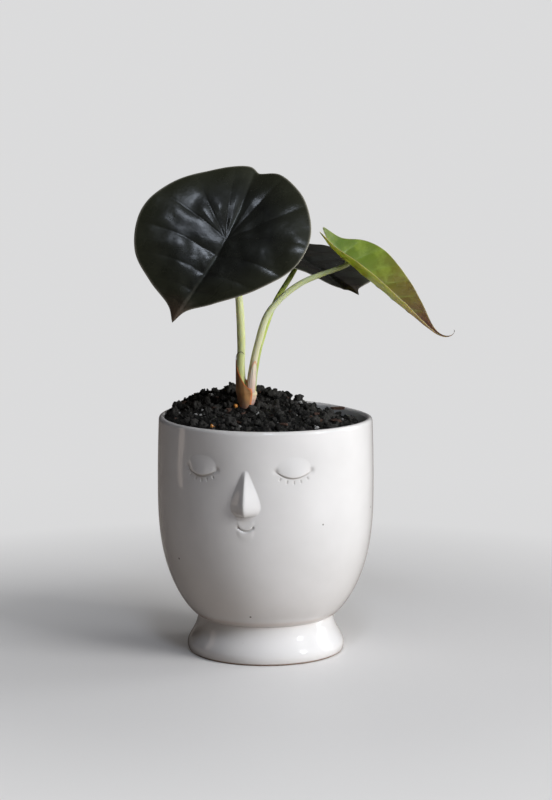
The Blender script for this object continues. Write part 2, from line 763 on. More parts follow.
def outer_heights():
    """The heights of the outside's rows, close together across the face."""
    upper = np.linspace(POT_HEIGHT - WALL_AT_RIM / 2, FACE_HIGH, 10)[:-1]
    face = np.linspace(FACE_HIGH, FACE_LOW, FACE_ROWS)
    lower = np.linspace(FACE_LOW, NECK_HEIGHT, 64)[1:]
    return np.concatenate([upper, face, lower])


def pot_angles():
    """The columns' angles from the face's middle in degrees, close together across the face."""
    face = np.arange(-FACE_HALF_ANGLE, FACE_HALF_ANGLE, FACE_STEP)
    rest = np.arange(FACE_HALF_ANGLE, 360.0 - FACE_HALF_ANGLE, REST_STEP)
    return np.concatenate([face, rest])


def nose_relief(across, height):
    """A long teardrop: it widens and stands out downwards, with a sharp ridge and a round end."""
    down = np.clip((NOSE_TOP - height) / (NOSE_TOP - NOSE_BOTTOM), 0.0, 1.0)
    half = NOSE_HALF_TOP + NOSE_HALF * down * np.sqrt(1 - down**5)
    out = NOSE_OUT * down**0.9 * np.sqrt(1 - down**4.5)
    side = np.hypot(np.abs(across) / half, NOSE_SOFTNESS) - NOSE_SOFTNESS
    return out * np.clip(1 - side, 0.0, 1.0) ** 1.15


def eye_relief(across, height):
    """A closed eye: a soft socket, a domed lid that ends in a crisp lower line, a dimple at
    each corner and short lashes. The second value says how deep in a line each point is."""
    share = across / EYE_HALF
    line = EYE_HEIGHT - EYE_SAG * (1 - share**2)
    inside = ease(1.12, 0.80, np.abs(share))
    wide, tall = SOCKET_REACH
    socket = SOCKET_DEPTH * bell(across, wide * EYE_HALF) * bell(height - EYE_HEIGHT, tall)
    above = (height - line) / LID_RISE
    dome = np.clip(1 - share**2 - (0.8 * above) ** 2, 0.0, 1.0) ** 1.4
    lid = LID_OUT * dome * ease(-0.05, 0.04, above)
    groove = bell(height - line, EYE_LINE_WIDTH) * inside
    corners = bell(np.abs(share) - 1.0, 0.14) * bell(height - EYE_HEIGHT - 0.0004, CORNER_HEIGHT)
    below = line - height - LASH_START
    upper_fade, lower_fade = LASH_FADES
    inside_lash = ease(0.0, upper_fade, below) * ease(LASH_LENGTH, LASH_LENGTH - lower_fade, below)
    for k in LASHES:
        drift = across - k * LASH_PITCH - LASH_FAN * k * below
        groove = np.maximum(groove, 0.75 * bell(drift, LASH_WIDTH) * inside_lash)
    relief = lid - socket - EYE_LINE_DEPTH * groove - CORNER_DEPTH * corners
    return relief, np.maximum(groove, 0.5 * corners)


def mouth_relief(across, height):
    """A small closed smile under the nose, with darker ends and a soft lower lip."""
    share = across / MOUTH_HALF
    line = MOUTH_HEIGHT - MOUTH_SAG * (1 - share**2)
    inside = ease(1.25, 0.70, np.abs(share))
    upper = LIP_OUT * bell(height - line - 0.0018, 0.0018) * inside
    lower = LIP_OUT * bell(height - line + 0.0022, 0.0020) * inside
    groove = bell(height - line, MOUTH_LINE_WIDTH) * ease(1.15, 0.85, np.abs(share))
    ends = bell(np.abs(share) - 0.95, 0.16) * bell(height - MOUTH_HEIGHT, 0.0008)
    relief = upper + lower - MOUTH_LINE_DEPTH * groove - MOUTH_END_DEPTH * ends
    return relief, 0.6 * groove + 0.3 * ends


def face_relief(degrees, height, radius):
    """How far the outside stands out, and how deep in a line it is."""
    across = np.radians((degrees + 180.0) % 360.0 - 180.0) * radius
    relief = nose_relief(across, height)
    out, groove = mouth_relief(across, height)
    relief = relief + out
    for side in (-1, 1):
        middle = side * math.radians(EYE_ANGLE) * radius
        out, eye_groove = eye_relief(across - middle, height)
        relief = relief + out
        groove = np.maximum(groove, eye_groove)
    return relief, groove


def glaze_marks(height, radius, groove, lip_starts, foot_starts):
    """Where the glaze pools in a line, runs thin, or leaves the clay bare."""
    row = np.arange(len(height))[:, None]
    low_rows = row >= foot_starts
    bare = ((1 - ease(*BARE_EDGE, height)) * low_rows).astype(float)
    neck = 0.55 * bell(height - NECK_BAND_HEIGHT, NECK_BAND_WIDTH) * (radius > 0.028) * low_rows
    lip = 0.12 * ((row >= lip_starts) & (row < lip_starts + 10))
    return {"groove": 0.55 * groove, "bare": bare, "thin": np.maximum(neck, lip)}


def pot(material):
    """The hollow, the lip, the bowl with its face and the foot, turned as one closed skin."""
    degrees = pot_angles()
    inside = inner_profile(POT_HEIGHT - WALL_AT_RIM / 2, 0.0, 26)[:-1] + lip_profile()
    outside = [(float(bowl_radius(height)), height) for height in outer_heights()]
    profile = np.array(inside + outside + foot_profile())
    radius = np.repeat(profile[:, :1], len(degrees), axis=1)
    height = np.repeat(profile[:, 1:], len(degrees), axis=1)
    turn = np.repeat(degrees[None, :], len(profile), axis=0)
    relief = np.zeros_like(radius)
    groove = np.zeros_like(radius)
    rows = slice(len(inside), len(inside) + len(outside))
    relief[rows], groove[rows] = face_relief(turn[rows], height[rows], radius[rows])
    radius = radius + relief
    dip = RIM_DIP * bell(turn - RIM_DIP_ANGLE, RIM_DIP_SPREAD) * ease(0.070, POT_HEIGHT, height)
    sway = OUT_OF_ROUND * np.sin(np.radians(2 * turn) + 0.6) * ease(0.02, 0.08, height)
    angle = np.radians(turn)
    across, back = (radius + sway) * np.sin(angle), -(radius + sway) * np.cos(angle)
    grid = np.stack([across, back, height - dip], axis=-1)
    grid[radius < 1e-9] *= (0.0, 0.0, 1.0)
    marks = glaze_marks(height, radius, groove, len(inside) - 12, rows.stop - 30)
    mesh = grid_mesh("glazed_pot", grid, marks)
    add_object("glazed_pot", mesh, material, ["pot"])


# ---- soil ----


def soil_radius():
    return float(inner_radius(POT_HEIGHT)) - FIT_GAP


def soil_height(across, back):
    """The CAD's soil level: a tilted crown, a mound at the back left, and low lumps."""
    out = math.hypot(across, back) / soil_radius()
    level = POT_HEIGHT - SOIL_BELOW_RIM - SOIL_TILT * across + SOIL_CROWN * (1 - out**2)
    from_mound = (across - MOUND_AT[0]) / MOUND_REACH[0], (back - MOUND_AT[1]) / MOUND_REACH[1]
    level += MOUND_HEIGHT * math.exp(-(from_mound[0] ** 2 + from_mound[1] ** 2) / 2)
    turn = math.tau / LUMP_PITCH
    return level + LUMP_HEIGHT * math.sin(turn * across) * math.cos(turn * back + LUMP_PHASE)


def crumbly_height(across, back):
    """The soil's level with its clods and crumbs."""
    place = (across, back, 0.0)
    clods = COARSE_LUMP * lumpiness(place, COARSE_PITCH, 4, 3.1)
    crumbs = FINE_LUMP * abs(lumpiness(place, FINE_PITCH, 4, 11.7))
    from_stem = math.hypot(across - COLLAR_AT[0], back - COLLAR_AT[1])
    cling = CLING_HEIGHT * math.exp(-((from_stem / CLING_REACH) ** 2))
    from_hollow = (across - HOLLOW_AT[0]) / HOLLOW_REACH, (back - HOLLOW_AT[1]) / HOLLOW_REACH
    hollow = HOLLOW_DEPTH * math.exp(-(from_hollow[0] ** 2 + from_hollow[1] ** 2) / 2)
    return soil_height(across, back) + clods + crumbs + cling - hollow


def soil(material):
    """The soil's closed body: it lines the pot's hollow and is crumbly on top."""
    edge = soil_radius()
    side = inner_profile(POT_HEIGHT - SOIL_EDGE_BELOW_RIM, FIT_GAP, 12)
    rings = [(radius, height, False) for radius, height in side]
    shares = np.linspace(1.0, 0.0, SOIL_RINGS)
    rings += [(edge * share, 0.0, True) for share in shares]
    grid = np.zeros((len(rings), SOIL_COLUMNS, 3))
    turns = np.linspace(0.0, math.tau, SOIL_COLUMNS, endpoint=False)
    for row, (radius, height, surface) in enumerate(rings):
        for column, turn in enumerate(turns):
            across, back = radius * math.cos(turn), radius * math.sin(turn)
            level = crumbly_height(across, back) if surface else height
            grid[row, column] = (across, back, level)
    mesh = grid_mesh("crumbly_soil", grid, sharp=180.0)
    add_object("crumbly_soil", mesh, material, ["potting_soil"])


def ball(detail):
    """The points and triangles of a unit ball."""
    bm = bmesh.new()
    bmesh.ops.create_icosphere(bm, subdivisions=detail, radius=1.0)
    points = np.array([vert.co[:] for vert in bm.verts])
    faces = np.array([[vert.index for vert in face.verts] for face in bm.faces])
    bm.free()
    return points, faces


BALLS = {detail: ball(detail) for detail in (2, 3, 4)}


class Scatter:
    """Many small closed lumps and chips gathered in one mesh."""

    def __init__(self):
        self.points = []
        self.faces = []
        self.shades = []
        self.count = 0

    def add(self, points, faces, place, spin, seed):
        turn = Matrix.Rotation(spin[1], 3, "Z") @ Matrix.Rotation(spin[0], 3, "X")
        self.points.append(points @ np.array(turn).T + np.array(place))
        self.faces.append(faces + self.count)
        self.shades.append(np.full(len(points), seed % 1.0))
        self.count += len(points)

    def lump(self, place, size, spin, detail, rough, seed):
        """One rough lump."""
        points, faces = BALLS[detail]
        shift = Vector((seed, seed, 0.0))
        bulge = [1 + rough * noise.fractal(Vector(p) * 1.3 + shift, 1.0, 2.0, 3) for p in points]
        self.add(points * np.array(bulge)[:, None] * np.array(size) / 2, faces, place, spin, seed)

    def chip(self, place, size, spin, seed):
        """One splinter of bark: a skewed slab with ragged, worn sides."""
        points, faces = BALLS[3]
        squared = np.sign(points) * np.abs(points) ** CHIP_SQUARENESS / 2
        shift = Vector((seed, 0.0, seed))
        ragged = [1 + 0.30 * noise.fractal(Vector(p) * 1.6 + shift, 1.0, 2.0, 3) for p in points]
        taper = 1 - CHIP_TAPER * squared[:, 0]
        shaped = squared * np.array(size) * np.array(ragged)[:, None]
        shaped[:, 1] *= taper
        self.add(shaped, faces, place, spin, seed)

    def finish(self, name, material, replaced):
        mesh = bpy.data.meshes.new(name)
        points = np.concatenate(self.points)
        mesh.from_pydata(points.tolist(), [], np.concatenate(self.faces).tolist())
        layer = mesh.attributes.new("shade", "FLOAT", "POINT")
        layer.data.foreach_set("value", np.concatenate(self.shades).astype(np.float32))
        mesh.shade_smooth()
        add_object(name, mesh, material, replaced)


def spot_on_soil(near=0.0, far=0.97):
    """A random place on the soil, away from the stem."""
    while True:
        turn = random.uniform(0.0, math.tau)
        radius = soil_radius() * math.sqrt(random.uniform(near**2, far**2))
        across, back = radius * math.cos(turn), radius * math.sin(turn)
        if math.hypot(across - COLLAR_AT[0], back - COLLAR_AT[1]) > CLEAR_OF_STEM:
            return across, back


def spin():
    """A random tilt and turn."""
    return random.uniform(0.0, math.tau), random.uniform(0.0, math.tau)


def seed():
    return random.uniform(0.0, 9.0)


def cubed(low, high):
    """A random size along each axis."""
    return [random.uniform(low, high) for _ in range(3)]


def numbered(label):
    """The names of the CAD's loose pieces of one kind."""
    return [f"{label}_{i + 1}" for i in range(LOOSE_OF_EACH)]


def middles_of(label):
    """The middle and size of each of the CAD's loose pieces of one kind."""
    corners = [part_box(node) for node in numbered(label)]
    return [((low + high) / 2, high - low) for low, high in corners]


def resting(across, back, height):
    """A place on the crumbly soil, this far above it."""
    return across, back, crumbly_height(across, back) + height


def crumbs(material):
    """Clods and crumbs of peat, the CAD's larger ones among them."""
    scatter = Scatter()
    for middle, size in middles_of("soil_crumb"):
        scatter.lump(middle - LOOSE_SINK, size, (0.0, 0.0), 3, 0.45, seed())
    for count, low, high, detail in CRUMB_SORTS:
        for _ in range(count):
            size = cubed(low, high)
            scatter.lump(resting(*spot_on_soil(), 0.10 * size[2]), size, spin(), detail, 0.80, seed())
    scatter.finish("peat_crumbs", material, numbered("soil_crumb"))


def perlite(material):
    """Light grains, the CAD's larger ones among them."""
    scatter = Scatter()
    for middle, size in middles_of("perlite"):
        scatter.lump(middle - LOOSE_SINK, 0.8 * size, (0.0, 0.0), 3, 0.35, seed())
    for _ in range(PERLITE_GRAINS):
        size = cubed(*PERLITE_SIZE)
        place = resting(*spot_on_soil(0.15, 0.97), 0.22 * size[2])
        scatter.lump(place, size, spin(), 2, 0.40, seed())
    scatter.finish("perlite_grains", material, numbered("perlite"))


def bark(material):
    """Splinters of bark, the CAD's larger ones among them."""
    scatter = Scatter()
    for middle, size in middles_of("bark_chip"):
        longest = max(size.x, size.y)
        chip_size = (0.9 * longest, CHIP_WIDTH_SHARE * longest, LARGE_CHIP_THICKNESS)
        scatter.chip(middle - LOOSE_SINK, chip_size, (0.12, spin()[1]), seed())
    for _ in range(BARK_CHIPS):
        length = random.uniform(*CHIP_LENGTH)
        place = resting(*spot_on_soil(0.1, 0.96), 0.0003)
        tilt = (random.uniform(-0.5, 0.5), spin()[1])
        scatter.chip(place, (length, CHIP_WIDTH_SHARE * length, CHIP_THICKNESS), tilt, seed())
    scatter.finish("bark_chips", material, numbered("bark_chip"))


def beads(material):
    """The two beads of fertiliser, slightly uneven."""
    for i in (1, 2):
        low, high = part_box(f"fertilizer_bead_{i}")
        scatter = Scatter()
        scatter.lump((low + high) / 2, high - low, (0.3 * i, 0.0), 4, 0.035, 2.0 * i)
        scatter.finish(f"amber_bead_{i}", material, [f"fertilizer_bead_{i}"])


# ---- plant ----


def collar():
    """Where the stem meets the soil: the CAD's own level there."""
    return np.array([*COLLAR_AT, soil_height(*COLLAR_AT)])


def leaf_rotation(leaf):
    """Turns a leaf that points along +Y, with its face up, to the way that it grows."""
    heading = Matrix.Rotation(math.radians(leaf["heading"] - 90), 3, "Z")
    pitch = Matrix.Rotation(math.radians(leaf["pitch"]), 3, "X")
    roll = Matrix.Rotation(math.radians(leaf["roll"]), 3, "Y")
    return np.array(heading @ pitch @ roll)


def leaf_outline(left, right):
    """The rim of a leaf from its tip round its left side to the notch and back up its right."""
    half = LEAF_SPOKES // 2
    left_side = smooth_path([(*point, 0.0) for point in left], half + 1)
    right_side = smooth_path([(*point, 0.0) for point in right], half + 1)
    return np.concatenate([left_side, right_side[-2:0:-1]])[:, :2]


def midrib_table(leaf, length):
    """The midrib's forward place, rise and slope at even distances before and behind the stalk."""
    along = np.linspace(-length, length, 801)
    back = np.radians(leaf["back_bend"]) * -along / length
    hook = np.clip(1 - (length - along) / HOOK_LENGTH, 0.0, None)
    front = np.radians(leaf["tip_bend"] * (along / length) ** 2 + leaf["tip_hook"] * hook**2)
    slope = np.where(along < 0, back, front)
    step = along[1] - along[0]
    forward = np.concatenate([[0.0], np.cumsum(np.cos((slope[1:] + slope[:-1]) / 2) * step)])
    rise = np.concatenate([[0.0], np.cumsum(np.sin((slope[1:] + slope[:-1]) / 2) * step)])
    middle = len(along) // 2
    return along, forward - forward[middle], rise - rise[middle], slope


def midrib_across(leaf, along, length):
    """How far the midrib has curved sideways."""
    return leaf["sway"] * (along / length) ** 2


def vein_curve(leaf, length, start, end, lead):
    """A lateral vein from the midrib out to its end near the rim, led forwards by a share."""
    first = np.array([midrib_across(leaf, start * length, length), start * length])
    last = np.array(end)
    middle = mix(first, last, 0.5) + np.array([0.0, -lead * np.linalg.norm(last - first)])
    share = np.linspace(0.0, 1.0, VEIN_POINTS)[:, None]
    return (1 - share) ** 2 * first + 2 * share * (1 - share) * middle + share**2 * last


def nearest(points, curve):
    """Each point's distance to a curve, and how far along the curve the nearest place is."""
    best = np.full(len(points), 1.0)
    where = np.zeros(len(points))
    for i in range(len(curve) - 1):
        step = curve[i + 1] - curve[i]
        share = np.clip(((points - curve[i]) @ step) / max(step @ step, 1e-12), 0.0, 1.0)
        distance = np.linalg.norm(points - curve[i] - share[:, None] * step, axis=1)
        closer = distance < best
        best = np.where(closer, distance, best)
        where = np.where(closer, (i + share) / (len(curve) - 1), where)
    return best, where


def vein_map(leaf, outline, laterals, points):
    """The strength of the midrib and of the laterals at each point, and the pillows between."""
    length = outline[0][1]
    half = LEAF_SPOKES // 2
    notch = outline[half]
    along = np.linspace(notch[1] * 0.97, length * 0.99, 60)
    rib = np.stack([midrib_across(leaf, along, length), along], axis=1)
    rib_distance, _ = nearest(points, rib)
    taper = mix(1.0, 0.35, np.clip(points[:, 1] / length, 0.0, 1.0))
    midrib = bell(rib_distance, 0.00080 * taper + 0.0002)
    lateral = np.zeros(len(points))
    closest = rib_distance.copy()
    for start, share, lead in laterals:
        for rim in (outline[round(share * half)], outline[-round(share * half)]):
            curve = vein_curve(leaf, length, start, 0.95 * rim, lead)
            distance, where = nearest(points, curve)
            strength = bell(distance, mix(0.00075, 0.00035, where)) * mix(1.0, 0.25, where)
            lateral = np.maximum(lateral, strength)
            closest = np.minimum(closest, distance + 0.0012 * where)
    pillow = 1 - np.exp(-((closest / PILLOW_REACH) ** 2))
    return midrib, lateral, pillow


def blade_lift(leaf, relief, flat, out, veins):
    """How far each point stands off the bent midrib: fold, ripples, pillows and sunken veins."""
    midrib, lateral, pillow = veins
    from_midrib = flat[..., 0] - midrib_across(leaf, flat[..., 1], flat[-1, 0, 1])
    lift = np.hypot(from_midrib, MIDRIB_SOFTNESS) - MIDRIB_SOFTNESS
    lift = lift * math.tan(math.radians(leaf["fold"])) - leaf["edge_drop"] * out**4
    spoke = np.linspace(0.0, math.tau, LEAF_SPOKES, endpoint=False)[None, :]
    ripples = np.sin(7 * spoke + 0.8) + 0.6 * np.sin(11 * spoke + 2.1)
    lift = lift + relief["ripple"] * ripples * ease(0.55, 1.0, out)
    lift = lift + relief["puff"] * pillow * (1 - 0.6 * out**3)
    waves = [lumpiness((x, y, 0.0), WAVE_PITCH, 2, 5.3) for x, y in flat.reshape(-1, 2)]
    lift = lift + relief["swell"] * np.reshape(waves, out.shape) * (1 - 0.5 * out**3)
    return lift - MIDRIB_SUNK * midrib - LATERAL_SUNK * lateral


def upper_face(leaf, flat, lift, length):
    """The flat points set on the bent midrib and lifted square to it."""
    table, forward, rise, slope = midrib_table(leaf, length)
    along = flat[..., 1]
    forward_at = np.interp(along, table, forward)
    rise_at = np.interp(along, table, rise)
    slope_at = np.interp(along, table, slope)
    ahead = forward_at - np.sin(slope_at) * lift
    above = rise_at + np.cos(slope_at) * lift
    return np.stack([flat[..., 0], ahead, above], axis=-1)


def face_normals(upper):
    """The upper face's normals, with one for the few rings round the stalk."""
    round_the_leaf = np.roll(upper, -1, 1) - np.roll(upper, 1, 1)
    normal = unit(np.cross(np.gradient(upper, axis=0), round_the_leaf))
    normal[:3] = unit(normal[3].mean(axis=0))
    return -normal if normal[..., 2].sum() < 0 else normal


def closed_blade(upper, depth):
    """The upper face, a rounded rim and the lower face, this far below the upper."""
    lower = upper - face_normals(upper) * depth[..., None]
    outward = unit(upper[-1] - upper[-2])
    rim = (upper[-1] + lower[-1]) / 2 + outward * RIM_ROUNDING
    return np.concatenate([upper, rim[None], lower[::-1]])


def both_sides(values, at_rim, below=None):
    """One value a point for the upper face, the rim and the lower face."""
    low = values if below is None else below
    return np.concatenate([values, np.full((1, LEAF_SPOKES), at_rim), low[::-1]])


def blade_marks(leaf, outline, flat, out, veins):
    """What the leaf's material is told at each point."""
    midrib, lateral, _ = veins
    across, along = flat[..., 0], flat[..., 1]
    length, lowest = outline[0][1], outline[:, 1].min()
    midrib_seen = midrib * mix(0.30, 1.0, bell(np.hypot(across, along), 0.011))
    edge = ease(0.982, 0.995, out) * ease(0.97, 0.80, along / length)
    from_tip = np.hypot(across - outline[0][0], along - length)
    tip = ease(0.55, 1.0, along / length) * ease(0.0110, 0.0, from_tip - 0.006)
    return {
        "midrib": both_sides(midrib_seen, 0.0, midrib),
        "vein": both_sides(lateral, 0.0),
        "under": both_sides(np.zeros_like(out), 0.0, np.ones_like(out)),
        "edge": both_sides(edge, 1.0, 0.4 * edge),
        "rim": both_sides(out, 1.0),
        "tip": both_sides(tip, 0.0),
        "keel": both_sides(bell(across - midrib_across(leaf, along, length), 0.0040), 0.0),
        "along": both_sides((along - lowest) / (length - lowest), 1.0),
    }


def blade(name, leaf, outline, laterals, relief, material, replaced):
    """A leaf: spokes and rings stretched to the outline, bent, veined and given a thickness."""
    length = outline[0][1]
    shares = np.linspace(0.0, 1.0, LEAF_RINGS) ** 0.92
    flat = shares[:, None, None] * outline[None, :, :]
    out = np.repeat(shares[:, None], LEAF_SPOKES, axis=1)
    veins = vein_map(leaf, outline, laterals, flat.reshape(-1, 2))
    veins = [strength.reshape(out.shape) for strength in veins]
    upper = upper_face(leaf, flat, blade_lift(leaf, relief, flat, out, veins), length)
    ridge = relief["ridge"] * (veins[0] + 0.4 * veins[1])
    fine_tip = mix(0.30, 1.0, ease(0.0, relief["tip_taper"], (length - flat[..., 1]) / length))
    depth = BLADE_THICKNESS * (1 - 0.6 * out**6) + ridge * ease(1.0, 0.85, out)
    grid = closed_blade(upper, depth * fine_tip)
    grid = grid @ leaf_rotation(leaf).T + collar() + np.array(leaf["joins_at"])
    mesh = grid_mesh(name, grid, blade_marks(leaf, outline, flat, out, veins), 60.0)
    add_object(name, mesh, material, replaced)


def tube_grid(path, radii, sides):
    """Rows of points round a path, with both ends closed by a rounded cap."""
    ahead = unit(np.gradient(path, axis=0))
    side = unit(np.cross(ahead[0], (0.0, 1.0, 0.2)))
    rows = []
    turns = np.linspace(0.0, math.tau, sides, endpoint=False)
    for place, direction, radius in zip(path, ahead, radii):
        side = unit(side - direction * (side @ direction))
        up = np.cross(direction, side)
        ring = np.cos(turns)[:, None] * side + np.sin(turns)[:, None] * up
        rows.append(place + radius * ring)
    first = np.repeat(path[:1], sides, axis=0)
    last = np.repeat(path[-1:], sides, axis=0)
    return np.stack([first, *rows, last])


def along_tube(share, sides):
    """The share of a tube's length at each of its points, with its two closed ends."""
    return np.repeat(np.concatenate([[0.0], share, [1.0]])[:, None], sides, axis=1)


def stalk(name, points, radii, leaf, material, replaced):
    """A leaf stalk from inside the stem's head to the underside of its leaf."""
    normal = leaf_rotation(leaf) @ np.array([0.0, 0.0, 1.0])
    end = np.array(leaf["joins_at"]) - normal * STALK_END_BELOW
    foot = np.array(points[0])
    buried = foot - (0.0, 0.0, STALK_BURIED)
    way = [buried, foot, *points[1:], end - normal * STALK_STRAIGHT, end]
    share = np.linspace(0.0, 1.0, STALK_ROWS)
    eased = np.interp(share, np.linspace(0.0, 1.0, len(radii)), radii)
    swell = 1 + 0.16 * bell(share - 1.0, 0.035) + 0.10 * bell(share, 0.09)
    uneven = 1 + 0.025 * np.sin(17 * share + 1.0) + 0.015 * np.sin(41 * share)
    path = smooth_path(way, STALK_ROWS)
    grid = tube_grid(path, eased * swell * uneven, STALK_SIDES) + collar()
    mesh = grid_mesh(name, grid, {"along": along_tube(share, STALK_SIDES)})
    add_object(name, mesh, material, replaced)


def stem_profile():
    """The stem from its head down its neck to the bottom of the buried tuber."""
    key_points = [
        (0.0, STEM_HEAD + 0.0010, 0.0),
        (0.80 * STEM_HEAD_RADIUS, STEM_HEAD + 0.0004, 0.0),
        (STEM_HEAD_RADIUS, 0.86 * STEM_HEAD, 0.0),
        (mix(STEM_NECK_RADIUS, STEM_HEAD_RADIUS, 0.55), 0.40 * STEM_HEAD, 0.0),
        (1.02 * STEM_NECK_RADIUS, 0.0, 0.0),
    ]
    key_points += [(radius, height, 0.0) for radius, height in TUBER]
    return smooth_path(key_points, STEM_ROWS)


def stem(material):
    """The stem's neck and flared head, ringed by old leaf scars, with the buried tuber."""
    profile = stem_profile()
    turns = np.linspace(0.0, math.tau, STEM_SIDES, endpoint=False)
    radius, height = profile[:, 0][:, None], profile[:, 1][:, None]
    from_scar = (height % SCAR_PITCH) - SCAR_PITCH / 2
    scars = 1 - 0.035 * bell(from_scar, SCAR_WIDTH) * (height > -0.004)
    flutes = 1 + 0.05 * np.sin(3 * turns[None, :] + 0.5) * ease(-0.002, 0.006, height)
    radius = radius * scars * flutes
    level = np.repeat(height, STEM_SIDES, axis=1)
    grid = np.stack([radius * np.cos(turns), radius * np.sin(turns), level], axis=-1) + collar()
    along = np.clip((level + 0.003) / (STEM_HEAD + 0.003), 0.0, 1.0)
    mesh = grid_mesh("stem_fine", grid, {"along": along})
    add_object("stem_fine", mesh, material, ["stem_base"])


def outer_sheath_shape(height):
    """The middle and inner radius of the sheath that hugs the stem, then the front stalk."""
    leaning = (height - STEM_HEAD) / (OUTER_SHEATH_LEANS_UNTIL - STEM_HEAD)
    share = min(max(leaning, 0.0), 1.0)
    low = min(max(height / STEM_HEAD, 0.0), 1.0)
    hug = mix(STEM_NECK_RADIUS, STEM_HEAD_RADIUS, low) + FIT_GAP
    top = mix(np.array(FRONT_STALK[0][:2]), np.array(FRONT_STALK[1][:2]), 0.9)
    return top * share, mix(hug, FRONT_STALK_RADII[0] + 0.6 * FIT_GAP, share)


def inner_sheath_shape(height):
    """The middle and inner radius of the sheath that hugs the young leaf's stalk."""
    foot, middle = np.array(YOUNG_STALK[0]), np.array(YOUNG_STALK[1])
    share = (height - foot[2]) / (middle[2] - foot[2])
    return mix(foot, middle, share)[:2], YOUNG_STALK_RADII[0] + 0.6 * FIT_GAP


def sheath_wall(shape, start, top_at, faces, spread, outside):
    """The rows of a sheath's outer or inner wall."""
    foot, top = SHEATH_THICKNESS
    wall = np.zeros((SHEATH_ROWS, SHEATH_COLUMNS, 3))
    for j in range(SHEATH_ROWS):
        up = j / (SHEATH_ROWS - 1)
        thickness = mix(foot, top, up) if outside else 0.0
        for i in range(SHEATH_COLUMNS):
            side = 2 * i / (SHEATH_COLUMNS - 1) - 1
            turn = math.radians(faces + side * spread)
            height = mix(start, top_at(side), up)
            middle, radius = shape(height)
            crinkle = 0.00009 * math.sin(9 * side + 5 * up) + 0.00006 * math.sin(23 * side)
            radius = radius + thickness + crinkle * up
            across, back = middle[0] + math.cos(turn) * radius, middle[1] + math.sin(turn) * radius
            wall[j, i] = (across, back, height)
    return wall


def there_and_back(rows):
    """Each row followed by itself reversed."""
    return np.concatenate([rows, rows[:, ::-1]], axis=1)


def sheath(name, shape, start, top_at, faces, spread, material, replaced):
    """A thin scroll open on one side. Its top follows top_at, from one free edge to the other."""
    outer, inner = (
        sheath_wall(shape, start, top_at, faces, spread, outside) for outside in (True, False)
    )
    section = np.concatenate([outer, inner[:, ::-1]], axis=1)
    between = (outer + inner) / 2
    base, top = there_and_back(between[:1]), there_and_back(between[-1:])
    grid = np.concatenate([base, section, top]) + collar()
    up = along_tube(np.linspace(0.0, 1.0, SHEATH_ROWS), 2 * SHEATH_COLUMNS)
    side = there_and_back(np.abs(np.linspace(-1.0, 1.0, SHEATH_COLUMNS))[None, :])
    margin = np.maximum(ease(0.86, 1.0, side), ease(0.88, 1.0, up))
    mesh = grid_mesh(name, grid, {"along": up, "margin": margin})
    add_object(name, mesh, material, replaced)


def outer_top(side):
    """The outer sheath's top: tall at the left, sloping down across the front."""
    return mix(0.0100, 0.0238, max(0.0, math.cos(1.45 * side + 0.25)) ** 1.6)


def inner_top(side):
    """The inner sheath's top: tall in the middle, with low free edges."""
    return mix(0.0115, 0.0232, max(0.0, math.cos(1.35 * side)) ** 1.3)


def sheath_hood(material):
    """The thin dark edge of the old membrane, which arches over the front stalk."""
    middle = mix(np.array(FRONT_STALK[1]), np.array(FRONT_STALK[2]), 0.45)
    radius = FRONT_STALK_RADII[0] + 0.00018
    points = []
    for degrees, height in HOOD_AT:
        turn = math.radians(degrees)
        across, back = middle[0] + radius * math.cos(turn), middle[1] + radius * math.sin(turn)
        points.append((across, back, height))
    share = np.linspace(0.0, 1.0, HOOD_POINTS)
    radii = HOOD_RADIUS * (0.35 + 0.65 * np.sin(math.pi * np.clip(share, 0.03, 0.97)))
    grid = tube_grid(smooth_path(points, HOOD_POINTS), radii, HOOD_SIDES) + collar()
    along = along_tube(share, HOOD_SIDES)
    mesh = grid_mesh("sheath_hood", grid, {"along": along, "margin": 0 * along})
    add_object("sheath_hood", mesh, material)


# Relief on the leaves: pillows between the veins, broad waves, a rippled rim and the ridges
# that the veins make underneath, in metres, and the share of its length where the tip thins.
ROUND_RELIEF = {
    "puff": 0.00045,
    "swell": 0.00085,
    "ripple": 0.00030,
    "ridge": 0.00075,
    "tip_taper": 0.15,
}
YOUNG_RELIEF = {
    "puff": 0.00030,
    "swell": 0.00035,
    "ripple": 0.00010,
    "ridge": 0.00022,
    "tip_taper": 0.30,
}
# A lateral vein's start on the midrib, its end round the rim, and how far it bows forwards.
ROUND_LATERALS = (
    (0.0, 0.90, -0.10),
    (0.0, 0.74, -0.04),
    (0.0, 0.58, 0.05),
    (0.20, 0.43, 0.09),
    (0.42, 0.31, 0.10),
    (0.62, 0.20, 0.10),
    (0.80, 0.11, 0.08),
)
YOUNG_LATERALS = (
    (-0.06, 0.72, 0.02),
    (0.02, 0.60, 0.06),
    (0.14, 0.49, 0.07),
    (0.28, 0.39, 0.07),
    (0.42, 0.30, 0.06),
    (0.57, 0.21, 0.05),
)


# Each stalk's route, radii and leaf, then its colours from its foot to its leaf.
STALKS = {
    "front": (
        (FRONT_STALK, FRONT_STALK_RADII, FRONT_LEAF),
        (0.00, (0.58, 0.56, 0.28)),
        (0.12, (0.66, 0.72, 0.30)),
        (0.50, (0.80, 0.86, 0.46)),
        (1.00, (0.50, 0.60, 0.20)),
    ),
    "back": (
        (BACK_STALK, BACK_STALK_RADII, BACK_LEAF),
        (0.00, (0.34, 0.34, 0.15)),
        (0.12, (0.38, 0.46, 0.12)),
        (0.50, (0.55, 0.68, 0.12)),
        (1.00, (0.32, 0.46, 0.06)),
    ),
    "young": (
        (YOUNG_STALK, YOUNG_STALK_RADII, YOUNG_LEAF),
        (0.00, (0.74, 0.58, 0.48)),
        (0.14, (0.80, 0.72, 0.56)),
        (0.45, (0.74, 0.80, 0.52)),
        (1.00, (0.46, 0.54, 0.20)),
    ),
}


